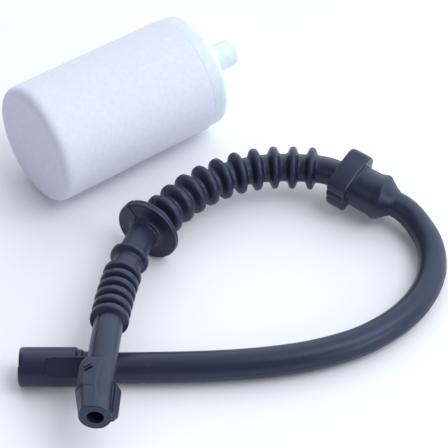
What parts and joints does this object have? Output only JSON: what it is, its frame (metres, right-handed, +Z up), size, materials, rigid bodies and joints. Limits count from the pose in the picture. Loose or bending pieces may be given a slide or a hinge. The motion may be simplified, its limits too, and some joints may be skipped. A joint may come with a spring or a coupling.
{
  "type": "fuel filter with pick-up line",
  "caption": "White felt fuel filter with a nylon outlet, loose beside its moulded black rubber fuel line with bellows, wall flange, tank grommet, nozzle and in-tank hose.",
  "frame": {"origin": "on the bench, under the middle of the filter and the bellows line, the in-tank hose and its socket left out", "axes": "+Z up from the bench the parts lie on; +Y runs from the nozzle's tip towards the filter; +X runs from the filter's closed end towards the tank grommet"},
  "size_m": [0.0815, 0.0944, 0.023],
  "materials": {
    "fuel_rubber": "satin moulded black rubber",
    "felt": "matt sintered white felt",
    "natural_nylon": "satin translucent natural nylon",
    "white_nylon": "satin white nylon",
    "nylon_mesh": "fine woven nylon mesh",
    "grey_nylon": "satin grey nylon",
    "zinc_steel": "zinc plated steel"
  },
  "bodies": {
    "tank_side": {"tank_grommet": "fuel_rubber", "tail_tube": "fuel_rubber", "large_bellows_tank_run": "fuel_rubber", "pickup_hose": "fuel_rubber", "filter_socket": "fuel_rubber"},
    "large_link": {"large_bellows_mid_ring": "fuel_rubber"},
    "wall_side": {"large_bellows_wall_run": "fuel_rubber", "wall_flange": "fuel_rubber"},
    "small_link": {"small_bellows_wall_run": "fuel_rubber", "small_bellows_mid_ring": "fuel_rubber"},
    "nozzle_side": {"small_bellows_nozzle_run": "fuel_rubber", "carburettor_nozzle": "fuel_rubber"},
    "filter": {"filter_felt": "felt", "outlet_cap": "natural_nylon", "core_cage": "white_nylon", "mesh_screen": "nylon_mesh", "cage_end_plug": "grey_nylon", "sinker_weight": "zinc_steel"}
  },
  "joints": [
    {"name": "large_bellows_swing", "type": "hinge", "parent": "tank_side", "child": "large_link", "pos_m": [0.01559, 0.01754, 0.00589], "axis": [0, 0, 1], "range_deg": [-8, 8], "stiffness_Nm_per_rad": 0.02, "deforming": ["large_bellows_tank_run"]},
    {"name": "large_bellows_lift", "type": "hinge", "parent": "large_link", "child": "wall_side", "pos_m": [-0.00149, 0.01046, 0.00616], "axis": [-0.6762, 0.7367, 0], "range_deg": [0, 20], "stiffness_Nm_per_rad": 0.02, "deforming": ["large_bellows_wall_run"]},
    {"name": "small_bellows_swing", "type": "hinge", "parent": "wall_side", "child": "small_link", "pos_m": [-0.01368, -0.01244, 0.00754], "axis": [0, 0, 1], "range_deg": [-12, 15], "stiffness_Nm_per_rad": 0.02, "deforming": ["small_bellows_wall_run"]},
    {"name": "small_bellows_lift", "type": "hinge", "parent": "small_link", "child": "nozzle_side", "pos_m": [-0.01497, -0.02103, 0.00903], "axis": [-0.9927, 0.1207, 0], "range_deg": [0, 30], "stiffness_Nm_per_rad": 0.02, "deforming": ["small_bellows_nozzle_run"]},
    {"name": "filter_lift_off", "type": "slide", "parent": "tank_side", "child": "filter", "axis": [0, 0, 1], "range_m": [0, 0.06]}
  ]
}
